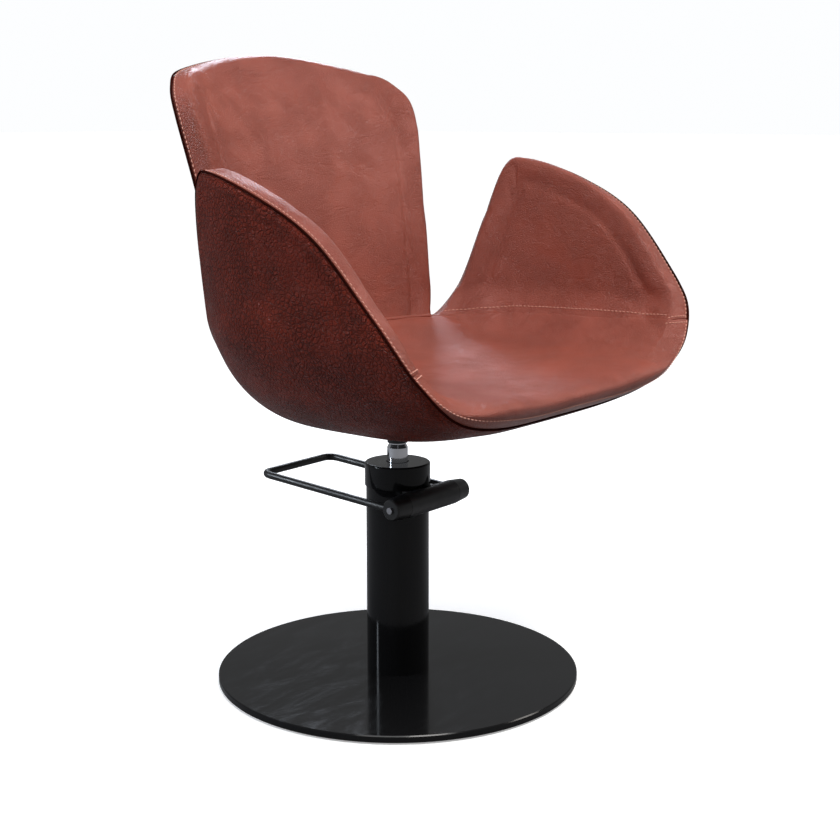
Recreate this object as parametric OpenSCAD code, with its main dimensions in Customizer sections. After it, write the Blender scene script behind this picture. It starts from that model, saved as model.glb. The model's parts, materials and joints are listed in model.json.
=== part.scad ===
// Styling chair: a leather tub on a hydraulic pump column with a round floor plate.
// Millimetres, +Z up. The origin is on the floor under the column axis.
// The chair faces -Y, and +X is on the sitter's left.

/* [Floor plate] */
// Diameter of the round floor plate
plate_d = 580; // [500:10:650]
// Thickness of the floor plate
plate_t = 11; // [8:1:16]
// Thickness of the rubber pad under the plate
pad_t = 3; // [2:0.5:5]

/* [Column] */
// Outer diameter of the column tube
column_d = 100; // [90:2:110]
// Wall thickness of the column tube
column_wall = 3; // [2:0.5:4]
// Height of the pump head's lower edge above the floor
head_z = 318; // [300:1:340]
// Height of the pump head's rim
head_h = 37; // [30:1:45]
// Diameter of the chromed ram
ram_d = 33; // [30:1:36]
// Height that the pump lifts the seat
lift = 140; // [80:5:140]

/* [Pump lever] */
// Distance of the lever shaft in front of the column axis
shaft_y = 60; // [58:1:66]
// Height of the lever shaft
shaft_z = 302; // [296:1:304]
// Diameter of the barrel that holds the lever shaft
barrel_d = 39; // [34:1:42]
// Diameter of the lever's round bar
bar_d = 12; // [10:0.5:14]
// Distance between the lever's two side bars
loop_w = 166; // [140:2:180]
// Reach of the lever loop behind the column axis
loop_reach = 218; // [180:2:260]

/* [Shell] */
// Height of the underside of the shell
shell_z = 426; // [426:1:440]
// Height where the bowl has become an upright wall
bowl_z = 610; // [590:5:640]
// Half-width of the shell at armrest foot height
half_w_low = 370; // [340:5:380]
// Half-width of the shell at armrest tip height
half_w_high = 395; // [380:5:400]
// Reach of the shell in front of its middle
reach_front = 295; // [270:5:310]
// Reach of the shell behind its middle, at seat height
reach_back = 350; // [330:5:370]
// Thickness of the padded wall at its rim
wall_t = 34; // [28:1:40]
// Height of the middle of the seat
seat_z = 517; // [505:1:530]
// Height of the seam between the seat and the arms
seam_z = 563; // [555:1:575]

/* [Hidden] */

steel_black = [0.12, 0.12, 0.12];
leather_inner = [0.55, 0.28, 0.20];
leather_outer = [0.36, 0.15, 0.11];
steel_bare = [0.62, 0.62, 0.64];

// Running clearance between a shaft and its hole, on the radius
running_gap = 0.05;

// ---- Floor plate and column ----

plate_top = pad_t + plate_t;
flange_t = 12;
flange_r = column_d / 2 - column_wall;
screw_circle_r = 32;
base_screw_r = 5;
base_head_r = 9;
base_head_h = 5;
screw_angles = [45, 135, 225, 315];

module at_screws(radius) {
    for (angle = screw_angles)
        rotate([0, 0, angle]) translate([radius, 0, 0]) children();
}

module floor_pad() {
    color([0.06, 0.06, 0.06]) cylinder(h = pad_t, r = plate_d / 2 - 8, $fn = 128);
}

module base_plate() {
    edge = 1.5;
    color(steel_black)
        difference() {
            rotate_extrude($fn = 128)
                polygon([
                    [0, pad_t], [plate_d / 2 - edge, pad_t], [plate_d / 2, pad_t + edge],
                    [plate_d / 2, plate_top - edge], [plate_d / 2 - edge, plate_top], [0, plate_top]
                ]);
            at_screws(screw_circle_r) {
                translate([0, 0, pad_t - 1]) cylinder(h = base_head_h + 1.2, r = base_head_r + 0.3, $fn = 32);
                cylinder(h = plate_top + 1, r = base_screw_r + 0.3, $fn = 32);
            }
        }
}

module base_screws() {
    color(steel_bare)
        at_screws(screw_circle_r) {
            translate([0, 0, pad_t]) cylinder(h = base_head_h, r = base_head_r, $fn = 32);
            translate([0, 0, pad_t]) cylinder(h = plate_t + flange_t - 2, r = base_screw_r, $fn = 32);
        }
}

module column_flange() {
    color(steel_bare)
        difference() {
            translate([0, 0, plate_top]) cylinder(h = flange_t, r = flange_r, $fn = 64);
            at_screws(screw_circle_r)
                translate([0, 0, plate_top - 1]) cylinder(h = flange_t + 2, r = base_screw_r, $fn = 32);
        }
}

// The window in the tube lets the rocker reach from the lever shaft to the plunger
window_w = 22;
window_low = shaft_z - 16;

module column_window() {
    translate([-window_w / 2, -column_d / 2 - 20, window_low])
        cube([window_w, 40, head_z - window_low + 1]);
}

module column_tube() {
    color(steel_black)
        difference() {
            translate([0, 0, plate_top]) cylinder(h = head_z - plate_top, d = column_d, $fn = 96);
            translate([0, 0, plate_top - 1])
                cylinder(h = head_z, r = column_d / 2 - column_wall, $fn = 96);
            column_window();
        }
}

// ---- Hydraulic pump ----

cylinder_r = 25;
cylinder_bore = 21;
ram_r = ram_d / 2;
head_r = column_d / 2 + 2;
head_top = head_z + head_h;
neck_low = head_z - 18;
cylinder_low = plate_top + flange_t;
wiper_h = 7;
head_lip = 3;
piston_z = 130;
piston_h = 20;
washer_t = 3;
ram_low = piston_z + piston_h + washer_t;
plunger_y = -35;
plunger_r = 4;
block_low = 205;
block_high = 252;

module oil_cylinder() {
    color(steel_bare)
        difference() {
            translate([0, 0, cylinder_low]) cylinder(h = neck_low - cylinder_low, r = cylinder_r, $fn = 64);
            translate([0, 0, cylinder_low + 6]) cylinder(h = neck_low, r = cylinder_bore, $fn = 64);
        }
}

module pump_block() {
    color([0.5, 0.5, 0.5])
        difference() {
            translate([0, 0, block_low])
                cylinder(h = block_high - block_low, r = flange_r - 0.2, $fn = 64);
            translate([0, 0, block_low - 1])
                cylinder(h = block_high, r = cylinder_r + 0.1, $fn = 64);
            translate([0, plunger_y, block_low + 5])
                cylinder(h = block_high, r = plunger_r + running_gap, $fn = 32);
        }
}

module pump_head() {
    round_r = 3;
    color(steel_black)
        difference() {
            rotate_extrude($fn = 96) {
                polygon([
                    [0, neck_low], [flange_r - 0.1, neck_low], [flange_r - 0.1, head_z], [head_r, head_z],
                    [head_r, head_top - round_r], [head_r - round_r, head_top], [0, head_top]
                ]);
                translate([head_r - round_r, head_top - round_r]) circle(r = round_r, $fn = 32);
            }
            translate([0, 0, neck_low - 1])
                cylinder(h = head_top - head_lip - neck_low + 1, r = cylinder_bore, $fn = 64);
            cylinder(h = head_top + 1, r = ram_r + 1.5, $fn = 64);
            translate([-window_w / 2, -head_r - 1, neck_low - 1])
                cube([window_w, head_r - cylinder_bore - 3, head_z - neck_low + 1]);
        }
}

module head_bush() {
    color("goldenrod")
        difference() {
            translate([0, 0, neck_low])
                cylinder(h = head_top - head_lip - wiper_h - neck_low, r = cylinder_bore, $fn = 64);
            translate([0, 0, neck_low - 1])
                cylinder(h = head_top, r = ram_r + running_gap, $fn = 64);
        }
}

module wiper_seal() {
    color([0.06, 0.06, 0.06])
        difference() {
            translate([0, 0, head_top - head_lip - wiper_h])
                cylinder(h = wiper_h, r = cylinder_bore, $fn = 64);
            cylinder(h = head_top, r = ram_r + running_gap, $fn = 64);
        }
}

module ram_piston() {
    groove = 3;
    color(steel_bare)
        difference() {
            translate([0, 0, piston_z])
                cylinder(h = piston_h, r = cylinder_bore - running_gap, $fn = 64);
            translate([0, 0, piston_z + 7])
                difference() {
                    cylinder(h = 6, r = cylinder_bore + 1, $fn = 64);
                    translate([0, 0, -1]) cylinder(h = 8, r = cylinder_bore - groove, $fn = 64);
                }
        }
}

module piston_seal() {
    color([0.06, 0.06, 0.06])
        translate([0, 0, piston_z + 7])
            difference() {
                cylinder(h = 6, r = cylinder_bore - running_gap, $fn = 64);
                translate([0, 0, -1]) cylinder(h = 8, r = cylinder_bore - 3, $fn = 64);
            }
}

module thrust_washer() {
    color("goldenrod")
        translate([0, 0, piston_z + piston_h])
            difference() {
                cylinder(h = washer_t, r = ram_r, $fn = 64);
                translate([0, 0, -1]) cylinder(h = washer_t + 2, r = 6, $fn = 32);
            }
}

// ---- Ram and seat socket ----

cover_t = 2;
under_z = shell_z - cover_t;
socket_plate_t = 6;
socket_plate_z = under_z - socket_plate_t;
hub_low = socket_plate_z - 32;
nose_r = 12;
nose_tip_r = 11;
hub_r = 16;
socket_half = 68;
socket_screw_xy = 36;
socket_screw_r = 4;

module ram() {
    step_z = hub_low - 8;
    color([0.80, 0.81, 0.83])
        rotate_extrude($fn = 64)
            polygon([
                [0, ram_low], [ram_r, ram_low], [ram_r, step_z], [nose_r + 1.5, step_z + 6],
                [nose_r + 1.5, hub_low], [nose_r, hub_low], [nose_tip_r, under_z - 1], [0, under_z - 1]
            ]);
}

module at_socket_screws() {
    for (sx = [-1, 1], sy = [-1, 1])
        translate([sx * socket_screw_xy, sy * socket_screw_xy, 0]) children();
}

module seat_socket() {
    corner = 12;
    color(steel_black)
        difference() {
            union() {
                translate([0, 0, hub_low]) cylinder(h = socket_plate_z - hub_low, r = hub_r, $fn = 64);
                translate([0, 0, socket_plate_z])
                    linear_extrude(socket_plate_t) {
                        square([2 * socket_half - 2 * corner, 2 * socket_half], center = true);
                        square([2 * socket_half, 2 * socket_half - 2 * corner], center = true);
                        for (sx = [-1, 1], sy = [-1, 1])
                            translate([sx, sy] * (socket_half - corner)) circle(r = corner, $fn = 32);
                    }
            }
            rotate_extrude($fn = 64)
                polygon([
                    [0, hub_low - 1], [nose_r, hub_low - 1], [nose_r, hub_low],
                    [nose_tip_r, under_z - 1], [nose_tip_r, under_z + 1], [0, under_z + 1]
                ]);
            at_socket_screws()
                translate([0, 0, socket_plate_z - 1])
                    cylinder(h = socket_plate_t + 2, r = socket_screw_r + 0.4, $fn = 32);
        }
}

screw_head_h = 5;

module socket_screws() {
    color(steel_bare)
        at_socket_screws() {
            translate([0, 0, socket_plate_z - screw_head_h]) cylinder(h = screw_head_h, r = 6.5, $fn = 32);
            translate([0, 0, socket_plate_z - 1]) cylinder(h = 20, r = socket_screw_r, $fn = 32);
        }
}

// ---- Shell geometry ----
// The shell is a bowl whose plan is a superellipse at every height. A point on it
// is found from a plan angle (0 = left, 90 = back, -90 = front) and a height.

shell_mid_y = -172;
bowl_mid_y = 60;
foot_scale = 0.30;
bend = 1.8;
back_power = 3.0;
front_power = 4.0;
seat_level = 550;
tip_level = 825;
back_curl = 0.00059;
front_dip = 468;
core_from = 6;
core_to = 10.5;
pad_from = 14;

// Rim of the shell from the front centre round to the back centre: [plan angle, height]
rim_points = [
    [-90, front_dip], [-60, front_dip], [-38, 492], [-25, 555], [-15, 640], [-2, 735], [12, 787],
    [27, 820], [31, 816], [36.5, 720], [43.3, 598], [50.5, 558], [52.3, 720], [53.3, 885],
    [57.5, 938], [66, 962], [90, 985]
];
rim_spans = len(rim_points) - 1;
// Places along the rim, as fractions: front corner, notch beside the back
corner_at = 3 / rim_spans;
notch_at = 11 / rim_spans;

// Points before the first and after the last are their mirror images
function rim_key(i) =
    i < 0 ? [-180 - rim_points[-i].x, rim_points[-i].y] :
    i > rim_spans ? [180 - rim_points[2 * rim_spans - i].x, rim_points[2 * rim_spans - i].y] :
    rim_points[i];

function smooth_curve(a, b, c, d, t) =
    0.5 * (2 * b + (c - a) * t + (2 * a - 5 * b + 4 * c - d) * t * t + (3 * b - a - 3 * c + d) * t * t * t);

function rim(s) =
    let (i = min(floor(s * rim_spans), rim_spans - 1))
    smooth_curve(rim_key(i - 1), rim_key(i), rim_key(i + 1), rim_key(i + 2), s * rim_spans - i);

// The rim moved into the wall by a distance, measured along the wall
deg_length = 6.1;
function rim_inside(s, depth) =
    let (
        ahead = rim(min(s + 0.01, 1)),
        behind = rim(max(s - 0.01, 0)),
        along = [(ahead.x - behind.x) * deg_length, ahead.y - behind.y],
        inward = [along.y, -along.x] / norm(along)
    )
    [rim(s).x + depth * inward.x / deg_length, rim(s).y + depth * inward.y];

function half_width(z) =
    let (rise = min(max((z - seat_level) / (tip_level - seat_level), 0), 1.3))
    half_w_low + (half_w_high - half_w_low) * sin(rise * 81) / sin(81);

function back_depth(z) = reach_back + back_curl * pow(max(z - seat_level, 0), 2);

function bowl_scale(z, inset) =
    let (rise = min(max((z - shell_z - inset) / (bowl_z - shell_z - inset), 0), 1))
    foot_scale + (1 - foot_scale) * pow(1 - pow(1 - rise, bend), 1 / bend);

// Point of the wall at plan angle phi and height z, a distance inset inside the outer face
function wall(phi, z, inset, side) =
    let (
        depth = sin(phi) > 0 ? back_depth(z) : reach_front,
        power = sin(phi) > 0 ? back_power : front_power,
        across = pow(abs(cos(phi)) / half_width(z), power),
        along = pow(abs(sin(phi)) / depth, power),
        radius = pow(across + along, -1 / power) - inset,
        k = bowl_scale(z, inset)
    )
    [
        side * radius * cos(phi) * k,
        bowl_mid_y + (shell_mid_y + radius * sin(phi) - bowl_mid_y) * k,
        z
    ];

// A column of the wall runs from the bowl's foot up to the rim. up goes from 0 to 1.
// It leans sideways only below lean_z, so that neighbouring columns never cross.
lean_z = 556;
function foot_angle(s) = (rim(s).x - 90 + 180 * s) / 2;
function column_point(s, up, low, inset, depth, side) =
    let (
        top = rim_inside(s, depth),
        z = low + (top.y - low) * up,
        lean = pow(min(max((z - shell_z) / (min(top.y, lean_z) - shell_z), 0), 1), 0.7)
    )
    wall(foot_angle(s) + (top.x - foot_angle(s)) * lean, z, inset, side);

// Two triangles for the cell between grid corners a, b, c, d
function cell(a, b, c, d) = [[a, b, c], [a, c, d]];

// Faces of a closed solid between two grids of the same size
function slab_faces(rows, cols) =
    let (
        n = rows * cols,
        at = function(r, c) r * cols + c
    )
    [
        for (r = [0:rows - 2], c = [0:cols - 2])
            each cell(at(r, c), at(r + 1, c), at(r + 1, c + 1), at(r, c + 1)),
        for (r = [0:rows - 2], c = [0:cols - 2])
            each cell(n + at(r, c), n + at(r, c + 1), n + at(r + 1, c + 1), n + at(r + 1, c)),
        for (c = [0:cols - 2])
            each cell(at(0, c), at(0, c + 1), n + at(0, c + 1), n + at(0, c)),
        for (c = [0:cols - 2])
            each cell(at(rows - 1, c + 1), at(rows - 1, c), n + at(rows - 1, c), n + at(rows - 1, c + 1)),
        for (r = [0:rows - 2])
            each cell(at(r + 1, 0), at(r, 0), n + at(r, 0), n + at(r + 1, 0)),
        for (r = [0:rows - 2])
            each cell(at(r, cols - 1), at(r + 1, cols - 1), n + at(r + 1, cols - 1), n + at(r, cols - 1))
    ];

// A curved sheet of the wall between two insets, from place s_from to s_to of the rim.
// A place below 0 or above 1 lies past the front or back centre, on the other side.
function sheet_point(place, up, low, inset, depth) =
    place < 0 ? column_point(-place, up, low, inset, depth, -1) :
    place > 1 ? column_point(2 - place, up, low, inset, depth, -1) :
    column_point(place, up, low, inset, depth, 1);

module wall_sheet(s_from, s_to, low_from, low_to, inset_from, inset_to, depth, cols, rows, spread) {
    grid = function(inset, low) [
        for (r = [0:rows], c = [0:cols])
            sheet_point(s_from + (s_to - s_from) * c / cols, pow(r / rows, spread), low, inset, depth)
    ];
    polyhedron(
        points = concat(grid(inset_from, low_from), grid(inset_to, low_to)),
        faces = slab_faces(rows + 1, cols + 1)
    );
}

// ---- Shell parts ----

loop_cols = 96;
panel_gap = 0.005;
cover_depth = 8;
cover_spread = 1.6;
pad_low = 500;

// Rings of points joined into a closed solid; the first and last ring are single points or loops
function ring_faces(rings, cols) = [
    for (r = [0:rings - 2], c = [0:cols - 1])
        let (d = (c + 1) % cols)
        each cell(r * cols + c, (r + 1) * cols + c, (r + 1) * cols + d, r * cols + d)
];

function loop_place(c) = 2 * c / loop_cols;

module shell_core() {
    rows = 9;
    hole_r = 64;
    depth = 11;
    // The innermost ring is a round hole in the bowl's flat floor
    hole_ring = function(inset) [
        for (c = [0:loop_cols - 1])
            let (a = -90 + 360 * c / loop_cols)
            [hole_r * cos(a), hole_r * sin(a), shell_z + inset]
    ];
    wall_ring = function(inset, up) [
        for (c = [0:loop_cols - 1]) sheet_point(loop_place(c), up, shell_z + inset, inset, depth)
    ];
    outer = [for (r = [0:rows]) each wall_ring(core_from, pow(r / rows, cover_spread))];
    inner = [for (r = [rows:-1:0]) each wall_ring(core_to, pow(r / rows, cover_spread))];
    rings = 2 * (rows + 1) + 3;
    color([0.2, 0.2, 0.22])
        polyhedron(
            points = concat(hole_ring(core_from), outer, inner, hole_ring(core_to), hole_ring(core_from)),
            faces = ring_faces(rings, loop_cols)
        );
}

module cover(s_from, s_to, cols) {
    color(leather_outer)
        wall_sheet(
            s_from + panel_gap, s_to - panel_gap, shell_z, shell_z + cover_t,
            0, cover_t, cover_depth, cols, 9, cover_spread
        );
}

// One skin covers both sides and the front
module outer_cover() {
    cover(-notch_at, notch_at, 66);
}

module back_cover() {
    cover(notch_at, 2 - notch_at, 20);
}

module under_cover() {
    outline = [
        for (c = [0:71])
            let (p = wall(-90 + 5 * c, shell_z, 1, 1))
            [p.x, p.y]
    ];
    color([0.08, 0.08, 0.08])
        difference() {
            translate([0, 0, under_z]) linear_extrude(cover_t - 0.1) polygon(outline);
            translate([0, 0, under_z - 1]) cylinder(h = cover_t + 2, r = hub_r, $fn = 64);
            at_socket_screws()
                translate([0, 0, under_z - 1]) cylinder(h = cover_t + 2, r = socket_screw_r + 0.6, $fn = 32);
        }
}

module seat_plate() {
    boss_r = 62;
    flange_radius = 86;
    flange_h = 6;
    color(steel_bare)
        difference() {
            union() {
                translate([0, 0, shell_z]) cylinder(h = core_to, r = boss_r, $fn = 96);
                translate([0, 0, shell_z + core_to]) cylinder(h = flange_h, r = flange_radius, $fn = 96);
            }
            at_socket_screws()
                translate([0, 0, shell_z - 1]) cylinder(h = core_to + flange_h + 2, r = socket_screw_r, $fn = 32);
        }
}

module arm_pad_left() {
    color(leather_inner)
        wall_sheet(
            corner_at + 0.012, notch_at - 0.006, pad_low, pad_low,
            pad_from, wall_t, 0, 24, 8, 1
        );
}

module arm_pad_right() {
    mirror([1, 0, 0]) arm_pad_left();
}

module back_pad() {
    color(leather_inner)
        wall_sheet(
            notch_at + 0.006, 2 - notch_at - 0.006, pad_low, pad_low,
            pad_from, wall_t, 0, 32, 10, 1
        );
}

module trim_welt() {
    welt_r = 3;
    sides = 6;
    steps = 160;
    along = function(i) sheet_point(2 * (i % steps) / steps, 1, shell_z, 0, 0);
    ring = function(i)
        let (
            here = along(i),
            ahead = along(i + 1) - along(i + steps - 1),
            u = cross(ahead, [0, 0.37, 0.93]) / norm(cross(ahead, [0, 0.37, 0.93])),
            v = cross(ahead, u) / norm(ahead)
        )
        [for (k = [0:sides - 1]) here + welt_r * (u * cos(60 * k) + v * sin(60 * k))];
    points = [for (i = [0:steps - 1]) each ring(i)];
    color([0.30, 0.10, 0.07])
        polyhedron(
            points = points,
            faces = [
                for (i = [0:steps - 1], k = [0:sides - 1])
                    let (
                        j = (i + 1) % steps,
                        m = (k + 1) % sides
                    )
                    each cell(i * sides + k, i * sides + m, j * sides + m, j * sides + k)
            ]
        );
}

// The cushion fills the bowl. Its front lip hangs over the shell's front edge.
module seat_cushion() {
    floor_z = shell_z + core_to + 7;
    inset = core_to + 4;
    side_inset = wall_t + 7;
    lip_rise = 42;
    middle = [0, -90, seat_z];
    // 1 along the front edge, 0 beside the arms
    frontness = function(place)
        let (s = place > 1 ? 2 - place : place)
        min(max((corner_at - s) / 0.03, 0), 1);
    at = function(place, z, d)
        let (s = place > 1 ? 2 - place : place, side = place > 1 ? -1 : 1)
        column_point(s, (z - floor_z) / (rim(s).y - floor_z), floor_z, d, 0, side);
    mix = function(f, a, b) f * a + (1 - f) * b;
    rim_z = function(place) rim(place > 1 ? 2 - place : place).y;
    step_z = function(place) mix(frontness(place), rim_z(place) - 3, pad_low - 4);
    top_z = function(place)
        mix(frontness(place), rim_z(place) + lip_rise, seam_z);
    // Each edge ring: share of the way from the step to the top, and inset, at the front and sides
    edge_rings = [
        [0, 0, inset, inset], [0.14, 0, 5, side_inset], [0.55, 0.5, 2, side_inset], [1, 1, 26, side_inset]
    ];
    edge = [
        for (e = edge_rings) each [
            for (c = [0:loop_cols - 1])
                let (
                    p = loop_place(c),
                    z = step_z(p) + (top_z(p) - step_z(p)) * mix(frontness(p), e[0], e[1])
                )
                at(p, z, mix(frontness(p), e[2], e[3]))
        ]
    ];
    low = [
        for (u = [0, 0.5]) each [
            for (c = [0:loop_cols - 1])
                let (p = loop_place(c))
                at(p, floor_z + (step_z(p) - floor_z) * u, inset)
        ]
    ];
    top = [
        for (r = [0.85, 0.6, 0.3]) each [
            for (c = [0:loop_cols - 1])
                let (
                    p = loop_place(c),
                    q = at(p, top_z(p), mix(frontness(p), 26, side_inset))
                )
                [q.x * r, middle.y + (q.y - middle.y) * r, seat_z + (q.z - seat_z) * pow(r, 2.4)]
        ]
    ];
    rings = 2 + len(edge_rings) + 3;
    last = rings * loop_cols;
    color(leather_inner)
        polyhedron(
            points = concat(low, edge, top, [[0, 0, floor_z]], [middle]),
            faces = concat(
                ring_faces(rings, loop_cols),
                [for (c = [0:loop_cols - 1]) [last, c, (c + 1) % loop_cols]],
                [
                    for (c = [0:loop_cols - 1])
                        [last + 1, last - loop_cols + (c + 1) % loop_cols, last - loop_cols + c]
                ]
            )
        );
}

// ---- Pump lever ----

barrel_r = barrel_d / 2;
barrel_half = 60;
shaft_r = 8;
bush_r = 11;
bush_len = 18;
cap_len = 30;
cap_end_r = 16.5;
cap_screw_r = 3;
screw_depth = 10;
bar_r = bar_d / 2;

module along_x(x) {
    translate([x, -shaft_y, shaft_z]) rotate([0, 90, 0]) children();
}

module lever_housing() {
    color([0.10, 0.10, 0.10])
        difference() {
            union() {
                along_x(-barrel_half) cylinder(h = 2 * barrel_half, r = barrel_r, $fn = 64);
                translate([-34, -shaft_y, shaft_z - barrel_r])
                    cube([68, shaft_y - column_d / 4, barrel_r + head_z - shaft_z]);
            }
            cylinder(h = head_top, d = column_d, $fn = 96);
            translate([0, 0, head_z]) cylinder(h = head_h, r = head_r, $fn = 96);
            along_x(-barrel_half - 1) cylinder(h = 2 * barrel_half + 2, r = bush_r, $fn = 64);
            translate([-window_w / 2, -shaft_y, window_low + 1])
                cube([window_w, shaft_y, head_z - window_low + 20]);
        }
}

module shaft_bushes() {
    color("goldenrod")
        for (x = [-barrel_half, barrel_half - bush_len])
            difference() {
                along_x(x) cylinder(h = bush_len, r = bush_r, $fn = 64);
                along_x(x - 1) cylinder(h = bush_len + 2, r = shaft_r + running_gap, $fn = 64);
            }
}

module lever_shaft() {
    half = barrel_half + cap_len - 8;
    color(steel_bare)
        difference() {
            along_x(-half) cylinder(h = 2 * half, r = shaft_r, $fn = 64);
            for (x = [-half - 1, half - screw_depth])
                along_x(x) cylinder(h = screw_depth + 1, r = cap_screw_r, $fn = 32);
        }
}

// The rocker is clamped on the shaft and presses the plunger down
rocker_w = 14;
rocker_tip_z = shaft_z - 8;

module rocker() {
    color(steel_bare)
        difference() {
            union() {
                along_x(-rocker_w / 2) cylinder(h = rocker_w, r = bush_r - 1, $fn = 48);
                translate([-rocker_w / 2 + 2, -shaft_y, rocker_tip_z])
                    cube([rocker_w - 4, shaft_y + plunger_y + 3, 8]);
            }
            along_x(-rocker_w) cylinder(h = 2 * rocker_w, r = shaft_r, $fn = 64);
        }
}

module lever_cap_left() {
    color([0.10, 0.10, 0.10])
        difference() {
            along_x(barrel_half + 0.6)
                rotate_extrude($fn = 64)
                    polygon([
                        [0, 0], [barrel_r, 0], [cap_end_r, cap_len - 2], [cap_end_r - 2, cap_len], [0, cap_len]
                    ]);
            along_x(barrel_half) cylinder(h = cap_len - 8, r = shaft_r, $fn = 64);
            along_x(barrel_half) cylinder(h = cap_len + 10, r = cap_screw_r, $fn = 32);
            lever_socket(1);
        }
}

module lever_cap_right() {
    mirror([1, 0, 0]) lever_cap_left();
}

module cap_screws() {
    color(steel_bare)
        for (side = [0, 1])
            mirror([side, 0, 0]) {
                along_x(barrel_half + cap_len - 8 - screw_depth)
                    cylinder(h = screw_depth + 9, r = cap_screw_r, $fn = 32);
                along_x(barrel_half + cap_len + 0.6) cylinder(h = 3, r = 5, $fn = 32);
            }
}

// The bar enters each cap from behind and rises slightly towards the back
bar_x = loop_w / 2;
bar_start_y = -shaft_y + 10;
bar_rise = 3.5;
bar_corner = 18;

module lever_socket(side) {
    translate([side * bar_x, bar_start_y, shaft_z])
        rotate([-90 + bar_rise, 0, 0]) cylinder(h = 30, r = bar_r, $fn = 32);
}

module lever_loop() {
    straight = loop_reach - bar_start_y - bar_corner;
    color([0.10, 0.10, 0.10])
        translate([0, bar_start_y, shaft_z])
            rotate([bar_rise, 0, 0]) {
                for (side = [-1, 1]) {
                    translate([side * bar_x, 0, 0])
                        rotate([-90, 0, 0]) cylinder(h = straight, r = bar_r, $fn = 32);
                    translate([side * (bar_x - bar_corner), straight, 0])
                        rotate([0, 0, side > 0 ? 0 : 90])
                            rotate_extrude(angle = 90, $fn = 32)
                                translate([bar_corner, 0]) circle(r = bar_r, $fn = 32);
                }
                translate([-(bar_x - bar_corner), straight + bar_corner, 0])
                    rotate([0, 90, 0]) cylinder(h = 2 * (bar_x - bar_corner), r = bar_r, $fn = 32);
            }
}

// ---- Pump plunger ----

plunger_top = rocker_tip_z - 0.3;
plunger_head_h = 10;
plunger_head_r = 7;
spring_wire_r = 0.8;
spring_r = 5.6;
spring_low = block_high;
spring_high = plunger_top - plunger_head_h;

module pump_plunger() {
    color(steel_bare) {
        translate([0, plunger_y, spring_high]) cylinder(h = plunger_head_h, r = plunger_head_r, $fn = 48);
        translate([0, plunger_y, block_low + 20])
            cylinder(h = spring_high - block_low - 19, r = plunger_r, $fn = 32);
    }
}

// Return spring: a coil whose wire is a ring of six-sided sections
module plunger_spring() {
    turns = 4;
    steps = 16;
    sides = 6;
    count = turns * steps;
    low = spring_low + spring_wire_r + 0.05;
    high = spring_high - spring_wire_r - 0.05;
    points = [
        for (i = [0:count])
            let (a = 360 * i / steps, z = low + (high - low) * i / count)
            each [
                for (k = [0:sides - 1])
                    let (reach = spring_r + spring_wire_r * cos(60 * k))
                    [reach * cos(a), plunger_y + reach * sin(a), z + spring_wire_r * sin(60 * k)]
            ]
    ];
    last = count * sides;
    color(steel_bare)
        polyhedron(
            points = points,
            faces = concat(
                [
                    for (i = [0:count - 1], k = [0:sides - 1])
                        let (m = (k + 1) % sides)
                        each cell(
                            i * sides + k, i * sides + m, (i + 1) * sides + m, (i + 1) * sides + k
                        )
                ],
                [[for (k = [sides - 1:-1:0]) k]],
                [[for (k = [0:sides - 1]) last + k]]
            )
        );
}

floor_pad();
base_plate();
base_screws();
column_flange();
column_tube();
oil_cylinder();
pump_block();
pump_head();
head_bush();
wiper_seal();
lever_housing();
shaft_bushes();
ram_piston();
piston_seal();
thrust_washer();
ram();
seat_socket();
socket_screws();
seat_plate();
under_cover();
shell_core();
outer_cover();
back_cover();
trim_welt();
seat_cushion();
arm_pad_right();
arm_pad_left();
back_pad();
lever_shaft();
rocker();
lever_cap_right();
lever_cap_left();
cap_screws();
lever_loop();
pump_plunger();
plunger_spring();
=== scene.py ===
"""Looks of a styling chair: a leather tub on a hydraulic pump column. Metres, +Z up, the chair faces -Y."""

import json
import math

import bpy
import bmesh
import numpy as np
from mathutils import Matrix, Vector
from mathutils.bvhtree import BVHTree

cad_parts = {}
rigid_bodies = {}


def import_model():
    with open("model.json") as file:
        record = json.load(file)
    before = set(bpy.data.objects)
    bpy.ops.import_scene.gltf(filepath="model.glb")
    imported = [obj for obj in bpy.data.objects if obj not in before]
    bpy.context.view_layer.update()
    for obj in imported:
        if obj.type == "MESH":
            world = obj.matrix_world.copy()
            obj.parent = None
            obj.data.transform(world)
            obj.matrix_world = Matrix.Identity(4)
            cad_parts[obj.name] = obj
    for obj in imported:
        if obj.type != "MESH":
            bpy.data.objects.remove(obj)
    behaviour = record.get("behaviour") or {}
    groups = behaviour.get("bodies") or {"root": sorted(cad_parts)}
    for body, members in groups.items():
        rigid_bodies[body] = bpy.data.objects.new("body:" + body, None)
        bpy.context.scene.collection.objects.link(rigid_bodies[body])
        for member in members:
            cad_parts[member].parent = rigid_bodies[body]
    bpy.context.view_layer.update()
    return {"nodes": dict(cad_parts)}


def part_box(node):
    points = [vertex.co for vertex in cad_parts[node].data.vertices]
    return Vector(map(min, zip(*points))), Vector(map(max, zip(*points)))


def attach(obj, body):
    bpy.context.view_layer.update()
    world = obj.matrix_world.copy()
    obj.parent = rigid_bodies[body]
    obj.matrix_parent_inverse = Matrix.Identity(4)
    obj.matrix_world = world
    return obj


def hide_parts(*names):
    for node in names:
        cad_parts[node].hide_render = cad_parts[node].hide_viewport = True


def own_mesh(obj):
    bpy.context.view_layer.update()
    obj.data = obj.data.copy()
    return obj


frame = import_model()

MM = 0.001
# Smallest length that is divided by
TINY = 1e-9

# ---- Driving dimensions, taken from the frame ----

UNDER_LOW, UNDER_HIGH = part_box("under_cover")
SOCKET_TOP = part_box("seat_socket")[1].z
# Height of the shell's foot, on the socket's flange
SHELL_Z = SOCKET_TOP + 2 * MM

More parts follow.
